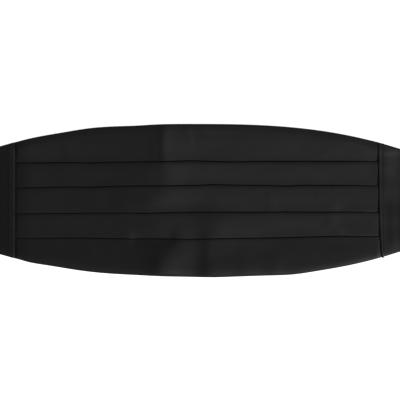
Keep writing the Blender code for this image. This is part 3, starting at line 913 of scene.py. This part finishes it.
def tinted(tree, shader, height, dark, light, places=NOISE_RANGE):
    """Colour the shader by a height, dark up to the first place and light from the second one on."""
    tint = add(tree, "ShaderNodeValToRGB")
    for element, grey, place in zip(tint.color_ramp.elements, (dark, light), places):
        element.color = (grey, grey, grey, 1)
        element.position = place
    tree.links.new(height, tint.inputs["Fac"])
    tree.links.new(tint.outputs["Color"], shader.inputs["Base Color"])


def raised(tree, shader, height, strength, distance):
    bump = add(tree, "ShaderNodeBump", Strength=strength, Distance=distance)
    tree.links.new(height, bump.inputs["Height"])
    tree.links.new(bump.outputs["Normal"], shader.inputs["Normal"])


def uneven_roughness(tree, shader, vector, scale, low, high):
    grain = add(tree, "ShaderNodeTexNoise", Scale=scale, Detail=3.0)
    tree.links.new(vector, grain.inputs["Vector"])
    rough = add(tree, "ShaderNodeMapRange")
    rough.inputs["From Min"].default_value = NOISE_RANGE[0]
    rough.inputs["From Max"].default_value = NOISE_RANGE[1]
    rough.inputs["To Min"].default_value = low
    rough.inputs["To Max"].default_value = high
    tree.links.new(grain.outputs["Fac"], rough.inputs["Value"])
    tree.links.new(rough.outputs["Result"], shader.inputs["Roughness"])


def on_cloth(tree, across, along):
    """Places on the cloth in its own map, scaled by counts for each metre."""
    place = add(tree, "ShaderNodeUVMap", uv_map="cloth")
    spread = add(tree, "ShaderNodeMapping")
    spread.inputs["Scale"].default_value = (across, along, 1.0)
    tree.links.new(place.outputs["UV"], spread.inputs["Vector"])
    return spread.outputs["Vector"]


def satin_material():
    """Satin: long floats of yarn along the garment, about 5 to the millimetre, with a broad soft shine."""
    made, tree, shader = new_material("satin")
    shader.inputs["Specular IOR Level"].default_value = 0.5
    shader.inputs["Sheen Weight"].default_value = 0.06
    shader.inputs["Sheen Roughness"].default_value = 0.4
    floats = add(tree, "ShaderNodeTexNoise", Scale=1.0, Detail=2.0, Roughness=0.35)
    tree.links.new(on_cloth(tree, across=260.0, along=5200.0), floats.inputs["Vector"])
    tinted(tree, shader, floats.outputs["Fac"], dark=0.0065, light=0.0105)
    raised(tree, shader, floats.outputs["Fac"], strength=0.18, distance=0.00005)
    uneven_roughness(tree, shader, on_cloth(tree, 1.0, 1.0), scale=60.0, low=0.48, high=0.52)
    return made


def webbing_material():
    """Knitted elastic: dull, with small loops in rows."""
    made, tree, shader = new_material("elastic")
    shader.inputs["Specular IOR Level"].default_value = 0.35
    loops = add(tree, "ShaderNodeTexNoise", Scale=1.0, Detail=2.0, Roughness=0.4)
    tree.links.new(on_cloth(tree, across=1500.0, along=2200.0), loops.inputs["Vector"])
    tinted(tree, shader, loops.outputs["Fac"], dark=0.006, light=0.014)
    raised(tree, shader, loops.outputs["Fac"], strength=0.5, distance=0.00015)
    uneven_roughness(tree, shader, on_cloth(tree, 1.0, 1.0), scale=400.0, low=0.66, high=0.8)
    return made


def thread_material():
    """Polyester thread, a little shinier than the satin."""
    made, tree, shader = new_material("thread")
    place = add(tree, "ShaderNodeTexCoord")
    twist = add(tree, "ShaderNodeTexNoise", Scale=2600.0, Detail=2.0)
    tree.links.new(place.outputs["Object"], twist.inputs["Vector"])
    tinted(tree, shader, twist.outputs["Fac"], dark=0.008, light=0.018)
    raised(tree, shader, twist.outputs["Fac"], strength=0.4, distance=0.00005)
    uneven_roughness(tree, shader, place.outputs["Object"], scale=900.0, low=0.4, high=0.55)
    return made


def enamel_material():
    """Black enamel on metal, unevenly glossy, with small scuffs that show a little lighter."""
    made, tree, shader = new_material("enamel")
    shader.inputs["Metallic"].default_value = 0.1
    shader.inputs["Coat Weight"].default_value = 0.4
    shader.inputs["Coat Roughness"].default_value = 0.2
    place = add(tree, "ShaderNodeTexCoord")
    scuffs = add(tree, "ShaderNodeTexNoise", Scale=520.0, Detail=6.0, Roughness=0.7)
    tree.links.new(place.outputs["Object"], scuffs.inputs["Vector"])
    tinted(tree, shader, scuffs.outputs["Fac"], dark=0.010, light=0.045, places=(0.62, 0.74))
    raised(tree, shader, scuffs.outputs["Fac"], strength=0.15, distance=0.00005)
    uneven_roughness(tree, shader, place.outputs["Object"], scale=250.0, low=0.24, high=0.42)
    return made


# The pieces.


def dress(piece, body, slot, *nodes):
    """Let a piece move with a body and stand for its solids."""
    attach(piece, body)
    if nodes:
        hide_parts(*nodes)
    return piece


def add_front(satin):
    rows = [[(x, y + edge_stray(x, y), z) for y, z in front_section(x)] for x in front_stations()]
    pleats = dress(cloth_object("pleats", rows, satin, SATIN), "garment", "satin", "front_pleats")


def stitch_row(name, out, share_high, share_low):
    """A row of points on a wing's surface for stitches."""
    shares = [share_high] + evenly(share_high, share_low, WING_POINTS)
    return [(x, y, z + SATIN / 2) for x, y, z in (wing_point(name, out, s) for s in shares)]


def add_wing(name, satin, thread):
    wing = dress(cloth_object(name + "_cloth", wing_rows(name), satin, SATIN), "garment", "satin", name)
    side = SIDES[name]
    end = WING_END - SEAM[side]
    rows = [stitch_row(name, STITCH_LINE, SEAM_STITCH_SHARE, -SEAM_STITCH_SHARE)]
    across = STRAP_WIDTH / 2 / outline(WING_END) - END_STITCH_INSET
    rows += [stitch_row(name, end - inwards, across, -across) for inwards in END_STITCHES]
    dress(stitches_object(name + "_stitches", rows, thread), "garment", "satin")


def strap_stitches(places, height):
    """Rows across a strap."""
    half = STRAP_WIDTH / 2 - STRAP_STITCH_INSET
    return [[(x, half, height), (x, -half, height)] for x in places]


def add_straps(elastic, thread):
    for name, path in (("strap_left", left_strap_path()), ("strap_right", right_strap_path())):
        strap = cloth_object(name + "_webbing", webbing_rows(path), elastic, WEBBING)
        dress(strap, "garment", "elastic", name)
    top = WEBBING_LEVEL["high"] + WEBBING / 2 + RIB_HEIGHT
    places = (RING_X + RING_LOOP + TAB_STITCHES["after_loop"], RING_X + RING_TAB - TAB_STITCHES["before_end"])
    rows = strap_stitches(places, top)
    dress(stitches_object("ring_tab_stitches", rows, thread), "garment", "elastic")


def add_slide(enamel):
    half = SLIDE_PITCH + SLIDE_BAR / 2
    slots = [
        rounded_rectangle(low, low + SLIDE_SLOT, SLOT_HALF_WIDTH, SLOT_CORNER)
        for low in (SLIDE_BAR / 2, -SLIDE_BAR / 2 - SLIDE_SLOT)
    ]
    rim = rounded_rectangle(-half, half, SLIDE_HALF_WIDTH, PLATE_CORNER)
    plate = sharpen(new_object("slide_plate", plate_mesh("slide_plate", [rim] + slots, SLIDE_THICK), enamel))
    plate.location = Vector((SLIDE_X, 0, SLIDE_Z)) * MM
    plate.rotation_euler = (0, -math.atan2(SLIDE_RISE, SLIDE_PITCH), 0)
    dress(plate, "garment", "enamel", "slide")


def tongue_path():
    """(x, z) of the hook's tongue from inside the plate, out, down and back beneath."""
    turn = TONGUE_DEPTH / 2
    out = TONGUE_REACH - turn - TONGUE_THICK / 2
    root = [(HOOK_BAR / 2 + HOOK_SLOT + TONGUE_ROOT, 0.0)]
    return root + arc(out, -turn, turn, 90, -90) + [(out - TONGUE_RETURN, TONGUE_LIP - TONGUE_DEPTH)]


def add_hook(enamel):
    end = HOOK_BAR / 2 + HOOK_SLOT + HOOK_BODY
    rim = rounded_rectangle(-HOOK_BAR / 2, end, SLIDE_HALF_WIDTH, PLATE_CORNER)
    slot = rounded_rectangle(HOOK_BAR / 2, HOOK_BAR / 2 + HOOK_SLOT, SLOT_HALF_WIDTH, SLOT_CORNER)
    plate = sharpen(new_object("hook_plate", plate_mesh("hook_plate", [rim, slot], HOOK_THICK), enamel))
    rows = [[(x, TONGUE_HALF_WIDTH, z), (x, -TONGUE_HALF_WIDTH, z)] for x, z in tongue_path()]
    tongue = cloth_object("hook_tongue", rows, enamel, TONGUE_THICK)
    soften = tongue.modifiers.new("edges", "BEVEL")
    soften.width = TONGUE_EDGE * MM
    soften.segments = 3
    for piece in (plate, tongue):
        piece.location = Vector((HOOK_X, 0, HOOK_Z)) * MM
    dress(plate, "hook", "enamel", "hook")
    dress(tongue, "hook", "enamel")


def add_ring(enamel):
    """The ring of wire, with its far bar on the table."""
    points = rounded_rectangle(-RING_LENGTH, 0.0, RING_HALF_WIDTH, RING_CORNER)
    points = [p for p, follow in zip(points, points[1:] + points[:1]) if math.dist(p, follow) > SAME_PLACE]
    up = Vector((0, 0, 1))
    rings = []
    for n, (x, y) in enumerate(points):
        along = Vector((*points[(n + 1) % len(points)], 0)) - Vector((*points[n - 1], 0))
        across = along.cross(up).normalized()
        rings += [p * MM for p in ring_points(Vector((x, y, 0)), across, up, RING_WIRE, RING_SIDES)]
    mesh = bpy.data.meshes.new("ring_wire")
    mesh.from_pydata(rings, [], tube_faces(0, len(points), RING_SIDES, closed=True))
    wire = new_object("ring_wire", mesh, enamel)
    wire.location = Vector((RING_X, 0, RING_Z)) * MM
    wire.rotation_euler = (0, -math.asin((RING_Z - RING_WIRE) / RING_LENGTH), 0)
    dress(wire, "ring", "enamel", "ring")


# The studio.


def add_studio():
    scene = bpy.context.scene
    scene.view_settings.view_transform = "Standard"
    bpy.ops.mesh.primitive_plane_add(size=FLOOR_SIZE, location=(0, 0, -FLOOR_BELOW * MM))
    floor = bpy.context.object
    floor.name = "floor"
    white, tree, shader = new_material("floor_white")
    shader.inputs["Base Color"].default_value = (FLOOR_GREY, FLOOR_GREY, FLOOR_GREY, 1)
    shader.inputs["Roughness"].default_value = FLOOR_ROUGHNESS
    shader.inputs["Emission Color"].default_value = (1, 1, 1, 1)
    shader.inputs["Emission Strength"].default_value = FLOOR_GLOW
    floor.data.materials.append(white)
    world = bpy.data.worlds.new("room")
    scene.world = world
    world.use_nodes = True
    tree = world.node_tree
    room = tree.nodes["Background"]
    room.inputs["Color"].default_value = (1, 1, 1, 1)
    room.inputs["Strength"].default_value = ROOM
    backdrop = add(tree, "ShaderNodeBackground", Color=(1, 1, 1, 1), Strength=1.0)
    seen = add(tree, "ShaderNodeLightPath")
    mix = add(tree, "ShaderNodeMixShader")
    tree.links.new(seen.outputs["Is Camera Ray"], mix.inputs["Fac"])
    tree.links.new(room.outputs["Background"], mix.inputs[1])
    tree.links.new(backdrop.outputs["Background"], mix.inputs[2])
    tree.links.new(mix.outputs["Shader"], tree.nodes["World Output"].inputs["Surface"])
    for number, lamp in enumerate(LAMPS):
        data = bpy.data.lights.new(f"lamp_{number}", "AREA")
        data.energy = lamp["power"]
        data.size = lamp["size"]
        obj = bpy.data.objects.new(f"lamp_{number}", data)
        turn, up = math.radians(lamp["turn"]), math.radians(lamp["up"])
        way = Vector((math.cos(turn) * math.cos(up), math.sin(turn) * math.cos(up), math.sin(up)))
        obj.location = way * lamp["distance"]
        obj.rotation_mode = "QUATERNION"
        obj.rotation_quaternion = way.to_track_quat("Z", "Y")
        scene.collection.objects.link(obj)


def add_camera():
    data = bpy.data.cameras.new("camera")
    data.lens = LENS
    data.sensor_width = SENSOR
    data.clip_start, data.clip_end = CLIP
    obj = bpy.data.objects.new("camera", data)
    obj.location = Vector((*PHOTO_MIDDLE, PHOTO_WIDTH * LENS / SENSOR + LEVEL[2])) * MM
    bpy.context.scene.collection.objects.link(obj)
    bpy.context.scene.camera = obj


def main():
    satin, elastic = satin_material(), webbing_material()
    thread, enamel = thread_material(), enamel_material()
    add_front(satin)
    for name in SIDES:
        add_wing(name, satin, thread)
    add_straps(elastic, thread)
    add_slide(enamel)
    add_hook(enamel)
    add_ring(enamel)
    add_studio()
    add_camera()


main()
